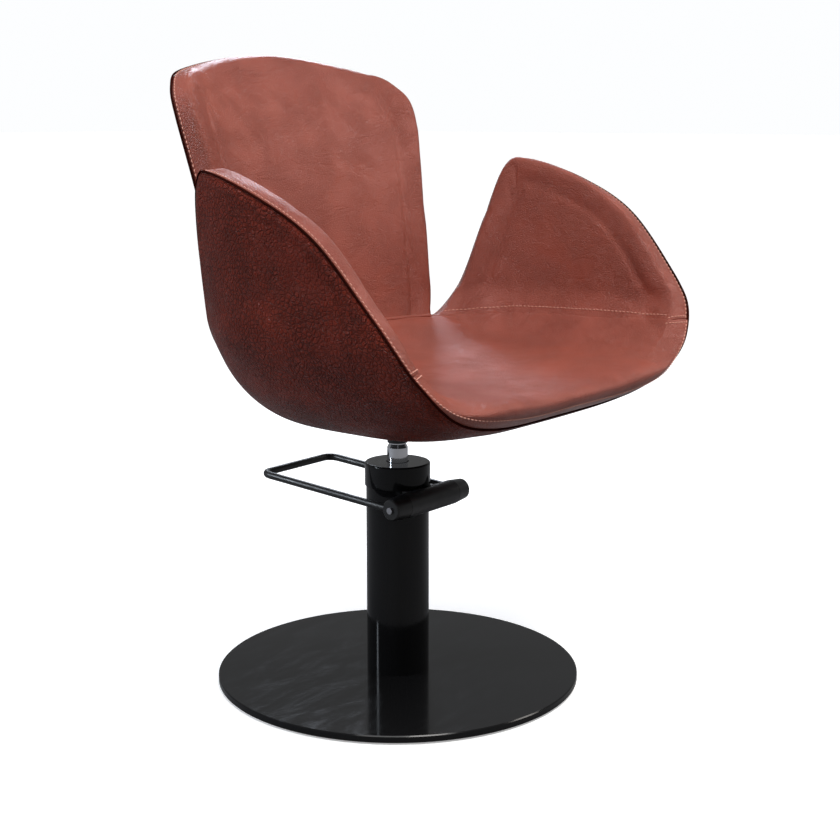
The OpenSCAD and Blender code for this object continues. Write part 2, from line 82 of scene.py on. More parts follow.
# ---- Shell geometry ----
# The shell is a bowl whose plan is a superellipse at every height. A point on it is found
# from a plan angle in degrees (0 = left, 90 = back, -90 = front) and a height.

# Height where the wall stands upright, and the middle of the plan there and at the foot
BOWL_Z = 0.610
SHELL_MID_Y = -0.172
BOWL_MID_Y = 0.060
# Half the width at the seat's level and at the arms' tips, and the reach forwards and backwards
HALF_WIDTH_LOW = 0.370
HALF_WIDTH_HIGH = 0.395
REACH_FRONT = 0.295
REACH_BACK = 0.350
# Size of the foot's plan as a share of the whole, and the roundness of the bowl above it
FOOT_SCALE = 0.30
BEND = 1.8
# Powers of the superellipse: a higher one has squarer corners
BACK_POWER = 3.0
FRONT_POWER = 4.0
SEAT_LEVEL = 0.550
TIP_LEVEL = 0.825
# Backward sweep of the back, for each metre above the seat's level squared
BACK_CURL = 0.59
# The side of the wall follows a sine of this angle from the seat's level to the arms' tips
WIDTH_TURN = math.radians(81)
# Below this height the wall's columns lean from the foot's even spacing towards the rim's places
LEAN_Z = 0.556
LEAN_POWER = 0.7
# Length along the wall of one degree of plan angle, for distances near the rim
DEGREE_LENGTH = 6.1 * MM
# Share of the loop on each side of a place that gives the rim's direction there
RIM_SMOOTHING = 0.02
RIM_SAMPLES = 300

# Rim of the shell from the front centre round to the back centre: plan angle, height
RIM_KEYS = np.array([
    (-90, 0.468), (-60, 0.468), (-38, 0.492), (-25, 0.555), (-15, 0.640), (-2, 0.735),
    (12, 0.787), (26, 0.817), (31.5, 0.806), (36.5, 0.720), (43.3, 0.598), (50.5, 0.558),
    (52.3, 0.720), (53.3, 0.885), (57.5, 0.938), (66, 0.962), (90, 0.985),
])
RIM_SPANS = len(RIM_KEYS) - 1
# Places on the rim: the seam between seat and arm, and the notch between arm and back
CORNER = 0.2
NOTCH = 11 / RIM_SPANS


def rim(place):
    """Plan angle and height of the rim at a place from 0 (front centre) to 1 (back centre)."""
    first = [-180 - RIM_KEYS[1, 0], RIM_KEYS[1, 1]]
    last = [180 - RIM_KEYS[-2, 0], RIM_KEYS[-2, 1]]
    keys = np.vstack([first, RIM_KEYS, last])
    i = np.clip(np.floor(place * RIM_SPANS).astype(int), 0, RIM_SPANS - 1)
    t = (place * RIM_SPANS - i)[..., None]
    a, b, c, d = keys[i], keys[i + 1], keys[i + 2], keys[i + 3]
    curve = 2 * b + (c - a) * t + (2 * a - 5 * b + 4 * c - d) * t**2 + (3 * b - a - 3 * c + d) * t**3
    return curve / 2


def rim_inside(place, depth):
    """The rim moved down into the wall by a depth."""
    ahead = rim(np.minimum(place + RIM_SMOOTHING, 1))
    behind = rim(np.maximum(place - RIM_SMOOTHING, 0))
    along = (ahead - behind) * [DEGREE_LENGTH, 1]
    along /= np.linalg.norm(along, axis=-1, keepdims=True)
    here = rim(place)
    phi = here[..., 0] + depth * along[..., 1] / DEGREE_LENGTH
    z = here[..., 1] - depth * along[..., 0]
    return phi, z


def half_width(z):
    """Half the width of the bowl's plan at a height."""
    rise = np.clip((z - SEAT_LEVEL) / (TIP_LEVEL - SEAT_LEVEL), 0, 1.3)
    share = np.sin(rise * WIDTH_TURN) / math.sin(WIDTH_TURN)
    return HALF_WIDTH_LOW + (HALF_WIDTH_HIGH - HALF_WIDTH_LOW) * share


def bowl_scale(z, inset):
    """Size of the plan at a height, as a share of its full size. The bowl rounds in towards its foot."""
    rise = np.clip((z - SHELL_Z - inset) / (BOWL_Z - SHELL_Z - inset), 0, 1)
    return FOOT_SCALE + (1 - FOOT_SCALE) * (1 - (1 - rise)**BEND)**(1 / BEND)


def wall(phi, z, inset, side):
    """Point of the wall at a plan angle and height, a distance inset inside the outer face."""
    turn = np.radians(phi)
    back = np.sin(turn) > 0
    depth = np.where(back, REACH_BACK + BACK_CURL * np.maximum(z - SEAT_LEVEL, 0)**2, REACH_FRONT)
    power = np.where(back, BACK_POWER, FRONT_POWER)
    across = (np.abs(np.cos(turn)) / half_width(z))**power
    along = (np.abs(np.sin(turn)) / depth)**power
    radius = (across + along)**(-1 / power) - inset
    k = bowl_scale(z, inset)
    x = side * radius * np.cos(turn) * k
    y = BOWL_MID_Y + (SHELL_MID_Y + radius * np.sin(turn) - BOWL_MID_Y) * k
    return np.stack(np.broadcast_arrays(x, y, z), axis=-1)


def split_place(loop):
    """Place on the rim and side (1 left, -1 right) for a loop place: 0 front, 1 back, 2 front again."""
    loop = np.mod(loop, 2)
    return np.where(loop > 1, 2 - loop, loop), np.where(loop > 1, -1, 1)


def on_column(loop, up, low, depth):
    """Plan angle, height and side on the wall's column at a loop place.
    up is 0 at the height low and 1 at the rim less depth."""
    place, side = split_place(np.asarray(loop, float))
    top_phi, top_z = rim_inside(place, depth)
    foot = (rim(place)[..., 0] - 90 + 180 * place) / 2
    z = low + (top_z - low) * up
    share = np.clip((z - SHELL_Z) / (np.minimum(top_z, LEAN_Z) - SHELL_Z), 0, 1)
    return foot + (top_phi - foot) * share**LEAN_POWER, z, side


def skin(loop, up, low, inset, depth):
    """Point of the wall on that column, a distance inset inside the outer face."""
    phi, z, side = on_column(loop, up, low, depth)
    return wall(phi, z, inset, side)


def rim_distance(phi, z):
    """Distance along the wall from its points to the rim."""
    line = rim(np.linspace(0, 1, RIM_SAMPLES))
    across = (phi[..., None] - line[:, 0]) * DEGREE_LENGTH
    return np.min(np.hypot(across, z[..., None] - line[:, 1]), axis=-1)


# ---- Mesh helpers ----

# The leather is a stiff cloth, cut a little too large, over foam that pushes it out
CLOTH_FRAMES = 20
CLOTH_QUALITY = 6
CLOTH_MASS = 0.5
CLOTH_TENSION = 12
CLOTH_SHEAR = 6
CLOTH_BENDING = 1.2
CLOTH_GROWTH = 0.006
FOAM_PRESSURE = 2.0


def make_mesh(name, points, faces, material, body="seat"):
    """A smooth-shaded mesh piece that rides on a body."""
    mesh = bpy.data.meshes.new(name)
    mesh.from_pydata([tuple(p) for p in points], [], faces)
    mesh.validate()
    mesh.materials.append(material)
    piece = bpy.data.objects.new(name, mesh)
    bpy.context.scene.collection.objects.link(piece)
    face_outwards(mesh)
    mesh.shade_smooth()
    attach(piece, body)
    return piece


def face_outwards(mesh):
    """Turns every face of a closed or open mesh to point away from its inside."""
    shape = bmesh.new()
    shape.from_mesh(mesh)
    bmesh.ops.recalc_face_normals(shape, faces=shape.faces)
    shape.to_mesh(mesh)
    shape.free()


def grid_faces(rows, cols, close_rows=False, close_cols=False):
    """Quads of a grid of points given row by row."""
    faces = []
    for r in range(rows if close_rows else rows - 1):
        for c in range(cols if close_cols else cols - 1):
            r2, c2 = (r + 1) % rows, (c + 1) % cols
            faces.append((r * cols + c, r * cols + c2, r2 * cols + c2, r2 * cols + c))
    return faces


def sheet(name, grid, material, close_cols=False):
    """A piece with one face for each cell of a grid of points. grid is an array [row][column][xyz]."""
    rows, cols = grid.shape[:2]
    return make_mesh(name, grid.reshape(-1, 3), grid_faces(rows, cols, False, close_cols), material)


def ladder(size, first=0):
    """Fills a ring of points with a strip of quads between its first half and its second half."""
    half = range(size // 2 - 1)
    return [(first + i, first + i + 1, first + size - 2 - i, first + size - 1 - i) for i in half]


def closed_loft(name, rings, material, body="seat"):
    """A closed solid through rings of points. rings is an array [ring][point][xyz]."""
    count, size = rings.shape[:2]
    faces = grid_faces(count, size, False, True)
    faces += ladder(size)
    faces += ladder(size, (count - 1) * size)
    return make_mesh(name, rings.reshape(-1, 3), faces, material, body)


def tube(name, path, radius, material, closed=False, sides=10, body="seat"):
    """A round cord along a path of points."""
    path = np.asarray(path)
    ahead = np.roll(path, -1, axis=0)
    behind = np.roll(path, 1, axis=0)
    if not closed:
        ahead[-1], behind[0] = path[-1], path[0]
    along = ahead - behind
    along /= np.linalg.norm(along, axis=1, keepdims=True)
    # No path here runs along this slanted direction, so the cross products never vanish
    u = np.cross(along, [0, 0.37, 0.93])
    u /= np.linalg.norm(u, axis=1, keepdims=True)
    v = np.cross(along, u)
    angle = np.linspace(0, 2 * math.pi, sides, endpoint=False)
    ring = radius * (u[:, None] * np.cos(angle)[None, :, None] + v[:, None] * np.sin(angle)[None, :, None])
    points = path[:, None] + ring
    if closed:
        faces = grid_faces(len(path), sides, True, True)
        return make_mesh(name, points.reshape(-1, 3), faces, material, body)
    return closed_loft(name, points, material, body)


def add_modifier(piece, kind, **settings):
    """Adds a modifier of a kind and sets its values."""
    modifier = piece.modifiers.new(kind.title(), kind)
    for key, value in settings.items():
        setattr(modifier, key, value)
    return modifier


def thicken(piece, thickness):
    """Gives a sheet its thickness, on the inside."""
    add_modifier(piece, "SOLIDIFY", thickness=thickness, offset=-1)


def soften(piece, levels=1):
    """Rounds a piece by subdivision."""
    add_modifier(piece, "SUBSURF", levels=levels, render_levels=levels)


def stretch_over_foam(piece, hold, most):
    """Cloth simulation: the cover is loose and the foam pushes it out, so that it crowns and creases.
    hold says how firmly each point stays (1 = fixed), and no point moves further than most."""
    rest = np.array([v.co for v in piece.data.vertices])
    group = piece.vertex_groups.new(name="held")
    for i, weight in enumerate(hold):
        if weight > 0:
            group.add([i], float(weight), "REPLACE")
    cloth = add_modifier(piece, "CLOTH")
    settings = cloth.settings
    settings.quality = CLOTH_QUALITY
    settings.mass = CLOTH_MASS
    settings.tension_stiffness = CLOTH_TENSION
    settings.compression_stiffness = CLOTH_TENSION
    settings.shear_stiffness = CLOTH_SHEAR
    settings.bending_stiffness = CLOTH_BENDING
    settings.shrink_min = -CLOTH_GROWTH
    settings.use_pressure = True
    settings.uniform_pressure_force = FOAM_PRESSURE
    settings.vertex_group_mass = "held"
    settings.effector_weights.gravity = 0
    cloth.point_cache.frame_start = 1
    cloth.point_cache.frame_end = CLOTH_FRAMES
    scene = bpy.context.scene
    for number in range(1, CLOTH_FRAMES + 1):
        scene.frame_set(number)
    moved = piece.evaluated_get(bpy.context.evaluated_depsgraph_get()).data
    shift = np.array([v.co for v in moved.vertices]) - rest
    length = np.linalg.norm(shift, axis=1, keepdims=True)
    shift *= np.minimum(1, most * np.tanh(length / most) / np.maximum(length, TINY))
    piece.modifiers.remove(cloth)
    scene.frame_set(1)
    piece.data.vertices.foreach_set("co", (rest + shift).ravel())
    piece.data.update()


# ---- Materials ----

class Nodes:
    """Short names for building a material's node tree."""

    def __init__(self, name):
        self.material = bpy.data.materials.new(name)
        self.material.use_nodes = True
        self.tree = self.material.node_tree
        self.shader = self.tree.nodes["Principled BSDF"]
        self.place = self.tree.nodes.new("ShaderNodeTexCoord").outputs["Object"]

    def link(self, source, target):
        """Joins an output to an input."""
        self.tree.links.new(source, target)

    def put(self, socket, value):
        """Gives an input a value, or joins an output to it."""
        if hasattr(value, "is_linked"):
            self.link(value, socket)
        else:
            socket.default_value = value

    def stretched(self, scale):
        """The place, scaled along each axis, so that patterns get a direction."""
        node = self.tree.nodes.new("ShaderNodeMapping")
        node.inputs["Scale"].default_value = scale
        self.link(self.place, node.inputs["Vector"])
        return node.outputs[0]

    def noise(self, scale, detail=4.0, roughness=0.5, distortion=0.0, vector=None):
        """Soft random pattern from 0 to 1."""
        node = self.tree.nodes.new("ShaderNodeTexNoise")
        self.link(vector or self.place, node.inputs["Vector"])
        node.inputs["Scale"].default_value = scale
        node.inputs["Detail"].default_value = detail
        node.inputs["Roughness"].default_value = roughness
        node.inputs["Distortion"].default_value = distortion
        return node.outputs[0]

    def cells(self, scale, feature="DISTANCE_TO_EDGE", vector=None):
        """Distances inside irregular cells, for pebbles and weaves."""
        node = self.tree.nodes.new("ShaderNodeTexVoronoi")
        node.feature = feature
        self.link(vector or self.place, node.inputs["Vector"])
        node.inputs["Scale"].default_value = scale
        return node.outputs["Distance"]

    def math(self, operation, a, b=0.0, c=0.0):
        """One operation on numbers or outputs."""
        node = self.tree.nodes.new("ShaderNodeMath")
        node.operation = operation
        self.put(node.inputs[0], a)
        self.put(node.inputs[1], b)
        self.put(node.inputs[2], c)
        return node.outputs[0]

    def between(self, value, low, high, out_low=0.0, out_high=1.0):
        """A smooth step from out_low to out_high while the value goes from low to high."""
        node = self.tree.nodes.new("ShaderNodeMapRange")
        node.interpolation_type = "SMOOTHSTEP"
        self.link(value, node.inputs["Value"])
        node.inputs["From Min"].default_value = low
        node.inputs["From Max"].default_value = high
        node.inputs["To Min"].default_value = out_low
        node.inputs["To Max"].default_value = out_high
        return node.outputs["Result"]

    def mix(self, share, a, b):
        """Mixture of two colours: a where the share is 0, and b where it is 1."""
        node = self.tree.nodes.new("ShaderNodeMix")
        node.data_type = "RGBA"
        self.put(node.inputs["Factor"], share)
        self.put(node.inputs[6], a)
        self.put(node.inputs[7], b)
        return node.outputs[2]

    def warped(self, amount, scale):
        """The place, pushed about by noise, so that patterns lose their regularity."""
        node = self.tree.nodes.new("ShaderNodeTexNoise")
        self.link(self.place, node.inputs["Vector"])
        node.inputs["Scale"].default_value = scale
        add = self.tree.nodes.new("ShaderNodeVectorMath")
        add.operation = "MULTIPLY_ADD"
        self.link(node.outputs["Color"], add.inputs[0])
        add.inputs[1].default_value = (amount, amount, amount)
        self.link(self.place, add.inputs[2])
        return add.outputs[0]

    def bump(self, height, distance, strength=1.0, normal=None):
        """Surface detail from a height pattern, on top of another if one is given."""
        node = self.tree.nodes.new("ShaderNodeBump")
        node.inputs["Strength"].default_value = strength
        node.inputs["Distance"].default_value = distance
        self.link(height, node.inputs["Height"])
        if normal is not None:
            self.link(normal, node.inputs["Normal"])
        return node.outputs[0]

    def set(self, **values):
        """Sets the shader's inputs by name, with _ for a space."""
        for name, value in values.items():
            self.put(self.shader.inputs[name.replace("_", " ")], value)


def screen_to_linear(value):
    """The light of one eight-bit screen value, by the sRGB curve."""
    value /= 255
    return value / 12.92 if value <= 0.04045 else ((value + 0.055) / 1.055)**2.4


def rgb(red, green, blue):
    """A colour given as eight-bit screen values."""
    return (screen_to_linear(red), screen_to_linear(green), screen_to_linear(blue), 1.0)


def leather(name, light, dark, pebble_size, pebble_depth, furrow_painted_shade, crease_depth, roughness, coat):
    """Grained leather: pebbles between furrows darkened with painted shade, pores, long soft creases, and
    uneven dye and shine.
    """
    n = Nodes(name)
    wander = n.warped(2.2 * pebble_size, 0.16 / pebble_size)
    big = n.cells(1 / pebble_size, vector=wander)
    small = n.cells(2.4 / pebble_size, vector=wander)
    furrows = n.between(big, 0.0, 0.20)
    fine = n.between(small, 0.0, 0.25)
    presence = n.between(n.noise(16, 3), 0.3, 0.65, 0.5, 1.0)
    grain = n.math("MULTIPLY", n.math("MULTIPLY_ADD", fine, 0.4, furrows), presence)
    creases = n.between(n.noise(9, 6, 0.62, 1.2, n.stretched((1.0, 1.0, 2.0))), 0.47, 0.515)
    pores = n.noise(2600, 3)
    dye = n.between(n.noise(6, 4, 0.6), 0.3, 0.75)
    mottle = n.between(n.noise(260, 4, 0.7), 0.3, 0.7)
    base = n.mix(dye, dark, light)
    base = n.mix(n.math("MULTIPLY", mottle, 0.25), base, dark)
    # Painted shade: the furrows between the pebbles are darkened towards a third of the dark tone, the more
    # where the grain lies lower
    lows = n.math("SUBTRACT", 1.0, n.math("MULTIPLY_ADD", fine, 0.3, furrows))
    shade = n.math("MULTIPLY", lows, furrow_painted_shade)
    shade = n.math("MAXIMUM", n.math("MULTIPLY", shade, presence), 0.0)
    painted_furrow_shade_colour = tuple(0.3 * v for v in dark[:3]) + (1.0,)
    base = n.mix(shade, base, painted_furrow_shade_colour)
    bumped = n.bump(creases, crease_depth, 0.6)
    bumped = n.bump(grain, pebble_depth, 1.0, bumped)
    bumped = n.bump(pores, 0.03 * MM, 0.5, bumped)
    shine = n.between(n.noise(30, 4), 0.2, 0.8, roughness - 0.06, roughness + 0.08)
    n.set(Base_Color=base, Roughness=shine, Normal=bumped, Specular_IOR_Level=0.6 * coat)
    n.set(Coat_Weight=coat, Coat_Roughness=0.28, Coat_Normal=bumped)
    return n.material


def thread():
    """Twisted pinkish thread."""
    n = Nodes("thread")
    twist = n.noise(1800, 2)
    n.set(Base_Color=n.mix(twist, rgb(232, 176, 158), rgb(192, 126, 110)), Roughness=0.6)
    n.set(Normal=n.bump(twist, 0.1 * MM))
    return n.material


def gloss_black():
    """Black lacquer with a slight orange-peel surface, dust and faint wipe marks."""
    n = Nodes("gloss_black_lacquer")
    peel = n.noise(240, 2)
    dust = n.between(n.noise(1400, 5, 0.8), 0.62, 0.72)
    wipes = n.between(n.noise(9, 5, 0.7, 1.0, n.stretched((1.0, 4.0, 1.0))), 0.35, 0.7, 0.07, 0.17)
    n.set(Base_Color=n.mix(n.math("MULTIPLY", dust, 0.12), rgb(18, 18, 19), rgb(120, 118, 114)))
    n.set(Roughness=wipes, Specular_IOR_Level=0.22)
    n.set(Normal=n.bump(peel, 0.02 * MM, 0.5))
    return n.material


def satin_black():
    """Black powder coat over a casting: fine texture with rubbed spots."""
    n = Nodes("satin_black_coat")
    texture = n.noise(1500, 4, 0.7)
    wear = n.between(n.noise(24, 5, 0.7), 0.6, 0.8)
    n.set(Base_Color=n.mix(wear, rgb(20, 20, 21), rgb(42, 41, 40)))
    n.set(Roughness=n.between(n.noise(40, 4), 0.3, 0.7, 0.3, 0.44), Normal=n.bump(texture, 0.06 * MM, 0.6))
    return n.material


def metal(name, colour, low, high, lines, line_depth):
    """Bare metal with turning marks round its axis and patchy shine."""
    n = Nodes(name)
    turned = n.noise(90, 6, 0.8, 0.0, n.stretched(lines))
    patches = n.noise(16, 4)
    dull = tuple(0.6 * v for v in colour[:3]) + (1.0,)
    n.set(Base_Color=n.mix(n.math("MULTIPLY", patches, 0.35), colour, dull))
    n.set(Metallic=1.0, Roughness=n.between(turned, 0.3, 0.7, low, high))
    n.set(Normal=n.bump(turned, line_depth, 0.4))
    return n.material


def rubber():
    """Dull moulded rubber."""
    n = Nodes("black_rubber")
    n.set(Base_Color=n.mix(n.noise(35, 4), rgb(20, 20, 20), rgb(38, 37, 36)), Roughness=0.75)
    n.set(Normal=n.bump(n.noise(900, 4), 0.15 * MM, 0.6))
    return n.material


def woven_black():
    """Thin black dust cloth with a visible weave."""
    n = Nodes("black_dust_cloth")
    weave = n.cells(900, "F1")
    n.set(Base_Color=n.mix(weave, rgb(30, 30, 31), rgb(14, 14, 15)), Roughness=0.85, Sheen_Weight=0.3)
    n.set(Normal=n.bump(weave, 0.2 * MM))
    return n.material


def shell_moulding():
    """Moulded black plastic with flow marks."""
    n = Nodes("shell_moulding")
    flow = n.noise(12, 5, 0.6, 1.2)
    n.set(Base_Color=n.mix(flow, rgb(32, 31, 31), rgb(50, 48, 47)), Roughness=0.55)
    n.set(Normal=n.bump(n.noise(700, 3), 0.05 * MM))
    return n.material


INNER_LIGHT = rgb(159, 82, 66)
INNER_DARK = rgb(147, 73, 59)
OUTER_LIGHT = rgb(142, 52, 34)
OUTER_DARK = rgb(114, 39, 25)
# The welt is a real cord; its leather is far darker than the panels as painted shade of the groove it sits
# in
WELT_GROOVE_SHADE_LIGHT = rgb(58, 20, 15)
WELT_GROOVE_SHADE_DARK = rgb(40, 14, 11)

inner_leather = leather(
    "inner_leather", INNER_LIGHT, INNER_DARK, pebble_size=3.2 * MM, pebble_depth=0.6 * MM,
    furrow_painted_shade=0.35, crease_depth=0.6 * MM, roughness=0.36, coat=0.4,
)
outer_leather = leather(
    "outer_leather", OUTER_LIGHT, OUTER_DARK, pebble_size=6.5 * MM, pebble_depth=3.2 * MM,
    furrow_painted_shade=0.7, crease_depth=2.5 * MM, roughness=0.32, coat=0.13,
)
welt_groove_shade_leather = leather(
    "welt_groove_shade_leather", WELT_GROOVE_SHADE_LIGHT, WELT_GROOVE_SHADE_DARK, pebble_size=2.0 * MM, pebble_depth=0.1 * MM,
    furrow_painted_shade=0.3, crease_depth=0.2 * MM, roughness=0.45, coat=0.0,
)
thread_material = thread()
gloss_material = gloss_black()
satin_material = satin_black()
steel_material = metal("bare_steel", rgb(168, 168, 172), 0.25, 0.45, (1, 1, 30), 0.03 * MM)
chrome_material = metal("polished_chrome", rgb(222, 224, 228), 0.06, 0.16, (1, 1, 40), 0.01 * MM)
bronze_material = metal("bronze", rgb(190, 142, 78), 0.3, 0.5, (1, 1, 25), 0.03 * MM)
rubber_material = rubber()
cloth_material = woven_black()
moulding_material = shell_moulding()

# ---- Hard parts: the CAD nodes are shown, with rounded edges and their own materials ----

HARD_LOOKS = {
    "floor_pad": rubber_material, "base_plate": gloss_material, "base_screws": steel_material,
    "column_flange": steel_material, "column_tube": gloss_material, "oil_cylinder": steel_material,
    "pump_block": steel_material, "pump_head": gloss_material, "head_bush": bronze_material,
    "wiper_seal": rubber_material, "lever_housing": satin_material, "shaft_bushes": bronze_material,
    "ram_piston": steel_material, "piston_seal": rubber_material, "thrust_washer": bronze_material,
    "ram": chrome_material, "seat_socket": satin_material, "socket_screws": steel_material,
    "seat_plate": steel_material, "shell_core": moulding_material, "lever_shaft": steel_material,
    "rocker": steel_material, "lever_cap_right": satin_material, "lever_cap_left": satin_material,
    "cap_screws": steel_material, "lever_loop": satin_material, "pump_plunger": steel_material,
}
ROUNDED = {
    "base_plate": 0.6 * MM, "column_tube": 0.3 * MM, "lever_housing": 2.0 * MM, "seat_socket": 1.2 * MM,
    "lever_cap_right": 1.2 * MM, "lever_cap_left": 1.2 * MM, "socket_screws": 0.8 * MM,
    "cap_screws": 0.6 * MM, "floor_pad": 0.5 * MM,
}
BEVEL_ANGLE = math.radians(35)
SPRING_WIRE_R = 0.8 * MM
SPRING_TURNS = 4
SPRING_TURN_STEPS = 24
# How much slower the coil climbs at its ends
END_COILS = 0.55


def dress_hard_parts():
    """Gives each CAD node its material, and rounds the edges of those that are seen from outside."""
    for name, material in HARD_LOOKS.items():
        node = frame["nodes"][name]
        node.data.materials.clear()
        node.data.materials.append(material)
        if name in ROUNDED:
            bevel = add_modifier(node, "BEVEL", width=ROUNDED[name], segments=3, limit_method="ANGLE")
            bevel.angle_limit = BEVEL_ANGLE
            bevel.harden_normals = True


def smooth_ends(share):
    """Runs from 0 to 1 with slow ends, like the closed end coils of a spring."""
    return share - END_COILS * np.sin(2 * math.pi * share) / (2 * math.pi)


def make_spring():
    """Return spring of the pump plunger: a coil that rides on the plunger's body."""
    low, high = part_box("plunger_spring")
    height = high.z - low.z
    turn = np.linspace(0, 2 * math.pi * SPRING_TURNS, SPRING_TURNS * SPRING_TURN_STEPS)
    radius = (high.x - low.x) / 2 - SPRING_WIRE_R
    middle = (low + high) / 2
    climb = smooth_ends(np.linspace(0, 1, len(turn)))
    z = low.z + SPRING_WIRE_R + (height - 2 * SPRING_WIRE_R) * climb
    path = np.stack([middle.x + radius * np.cos(turn), middle.y + radius * np.sin(turn), z], axis=-1)
    spring = tube("spring_coil", path, SPRING_WIRE_R, steel_material, body="plunger")
    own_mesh(spring)
    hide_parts("plunger_spring")


# ---- Leather pieces of the shell ----

PAD_LOW = 0.500
BAND_T = 37 * MM
# How far the welt edge of the leather stands inside the outer face
WELT_INSET = 2 * MM
BAND_ROUNDING = 0.72
# The band crowns over the rim, less towards the welt, and turns down at both of its edges
BAND_CROWN = 9 * MM
BAND_SINK = 2 * MM
INNER_TURN = 13 * MM
WELT_TURN = 4 * MM
BAND_STEPS = 16
HIDDEN_STEPS = 8
HIDDEN_INSET = 9 * MM
HIDDEN_DEPTH = 12 * MM
# The border padding is sewn down along this distance from the rim
BORDER = 34 * MM
FURROW_WIDTH = 7 * MM
FURROW_DEPTH = 1.3 * MM
FURROW_HOLD = 0.5
PANEL_SWELL = 3.0 * MM
SWELL_REACH = 70 * MM
# Rows of points over which the hold fades out, from the foot and from the sewn ends
FOOT_ROWS = 4
END_ROWS = 3
# Places on the band from which the hold grows, and from which it is full
BAND_FREE = 0.5
BAND_HELD = 0.75
WALL_STRETCH = 1.4 * MM
ARM_COLS, ARM_ROWS = 116, 36
BACK_COLS, BACK_ROWS = 156, 52
# Half the gap at a seam between two panels and the width of its crisp edge, as shares of the rim's loop
SEAM = 0.0004
CRISP = 0.0010


def panel_places(start, end, count):
    """Evenly spaced loop places with a close pair at each end, so that the sewn ends stay crisp."""
    inside = np.linspace(start, end, count)[1:-1]
    return np.concatenate([[start, start + CRISP], inside, [end - CRISP, end]])


def band_profile(t):
    """Inset and depth across the padded rim band, from its inner edge (t = 0) to the welt (t = 1).
    The band is highest near its inner edge and slopes down to the welt."""
    turn = np.cos(math.pi * t)
    across = 0.5 + 0.5 * np.sign(turn) * np.abs(turn)**BAND_ROUNDING
    inset = WELT_INSET + (BAND_T - WELT_INSET) * across
    crown = (BAND_CROWN * (1 - t) - BAND_SINK) * np.sin(math.pi * np.clip(t, 0, 1))**0.5
    depth = INNER_TURN * (1 - t)**6 + WELT_TURN * t**8 - crown
    return inset, depth


def wall_rings(loop, steps):
    """Closed cross-sections of the padded wall (inner face, rim band, hidden outer side), and how firmly
    each of their points is held while the leather is stretched."""
    loop = loop[:, None]
    edge_inset, edge_depth = band_profile(np.array(0.0))
    up = np.linspace(0, 1, steps)[None]**0.8
    phi, z, side = on_column(loop, up, PAD_LOW, edge_depth)
    reach = rim_distance(phi, z)
    # A soft furrow follows the rim where the border padding is sewn down, and the panel swells beside it
    furrow = np.exp(-((reach - BORDER) / FURROW_WIDTH)**2)
    swell = PANEL_SWELL * np.clip((reach - BORDER) / SWELL_REACH, 0, 1)
    inner = wall(phi, z, edge_inset - FURROW_DEPTH * furrow + swell, side)
    t = np.linspace(0, 1, BAND_STEPS + 1)[None, 1:]
    inset, depth = band_profile(t)
    band = skin(loop, 1, PAD_LOW, inset, depth)
    hidden = skin(loop, np.linspace(1, 0, HIDDEN_STEPS)[None], PAD_LOW, HIDDEN_INSET, HIDDEN_DEPTH)
    hold = np.ones((len(loop), steps + BAND_STEPS + HIDDEN_STEPS))
    hold[:, :steps] = np.maximum(FURROW_HOLD * furrow, np.clip(1 - np.arange(steps) / FOOT_ROWS, 0, 1))
    hold[:, steps:-HIDDEN_STEPS] = np.clip((t - BAND_FREE) / (BAND_HELD - BAND_FREE), 0, 1)
    ends = np.minimum(np.arange(len(loop)), np.arange(len(loop))[::-1])
    hold = np.maximum(hold, np.clip(1 - ends / END_ROWS, 0, 1)[:, None])
    return np.concatenate([inner, band, hidden], axis=1), hold.ravel()


def padded_wall(name, start, end, count, steps):
    """Padded leather between two loop places, stretched over its foam."""
    rings, hold = wall_rings(panel_places(start, end, count), steps)
    piece = closed_loft(name, rings, inner_leather)
    stretch_over_foam(piece, hold, WALL_STRETCH)
    soften(piece)
    return piece


def make_arms():
    """Padded leather of both arms, from the seat's corners back to the notches."""
    for name, start, end in (
        ("arm_leather_left", CORNER + SEAM, NOTCH - SEAM),
        ("arm_leather_right", 2 - NOTCH + SEAM, 2 - CORNER - SEAM),
    ):
        arm = padded_wall(name, start, end, ARM_COLS, ARM_ROWS)
        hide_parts(name.replace("leather", "pad"))


def make_back():
    """Padded leather of the back, from notch to notch."""
    back = padded_wall("back_leather", NOTCH + SEAM, 2 - NOTCH - SEAM, BACK_COLS, BACK_ROWS)
    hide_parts("back_pad")


# ---- Seat ----

SEAM_Z_NOTCH = 0.556
DISH = 17 * MM
# Height of the lip above the rim at the corners and further in, and the part of the loop between them
LIP_LOW = 2 * MM
LIP_RISE = 42 * MM
LIP_FADE = 0.125
LIP_STEPS = 14
# How far the seat's sides turn down into the crease, and how far they go under the arms' pads
TUCK_DROP = 16 * MM
TUCK_UNDER = 4 * MM
CREASE_GAP = 1 * MM
SEAT_COLS = 96
SEAT_ROWS = 72
# The first row of the top lies close to the front edge and keeps it crisp
FIRST_ROW = 0.006
SEAT_BACK = NOTCH - 0.03
# Hidden sides of the seat: their inset, how far under the rim they start, and how high they end
SEAT_INSET = 15 * MM
SEAT_UNDER_RIM = 10 * MM
SEAT_FLOOR = 16 * MM
SEAT_STRETCH = 2.5 * MM
SEAM_HOLD = 0.6
CORNER_FADE = 0.07
# Rings of the lip that are free of the hold, and rings over which the hold then grows
FREE_RINGS = 5
FADE_RINGS = 4
PIPING_R = 3.5 * MM
PIPING_OUT = 4 * MM
PIPING_COLS = 160


def smooth(share):
    """Runs from 0 to 1 with slow ends."""
    share = np.clip(share, 0, 1)
    return share * share * (3 - 2 * share)


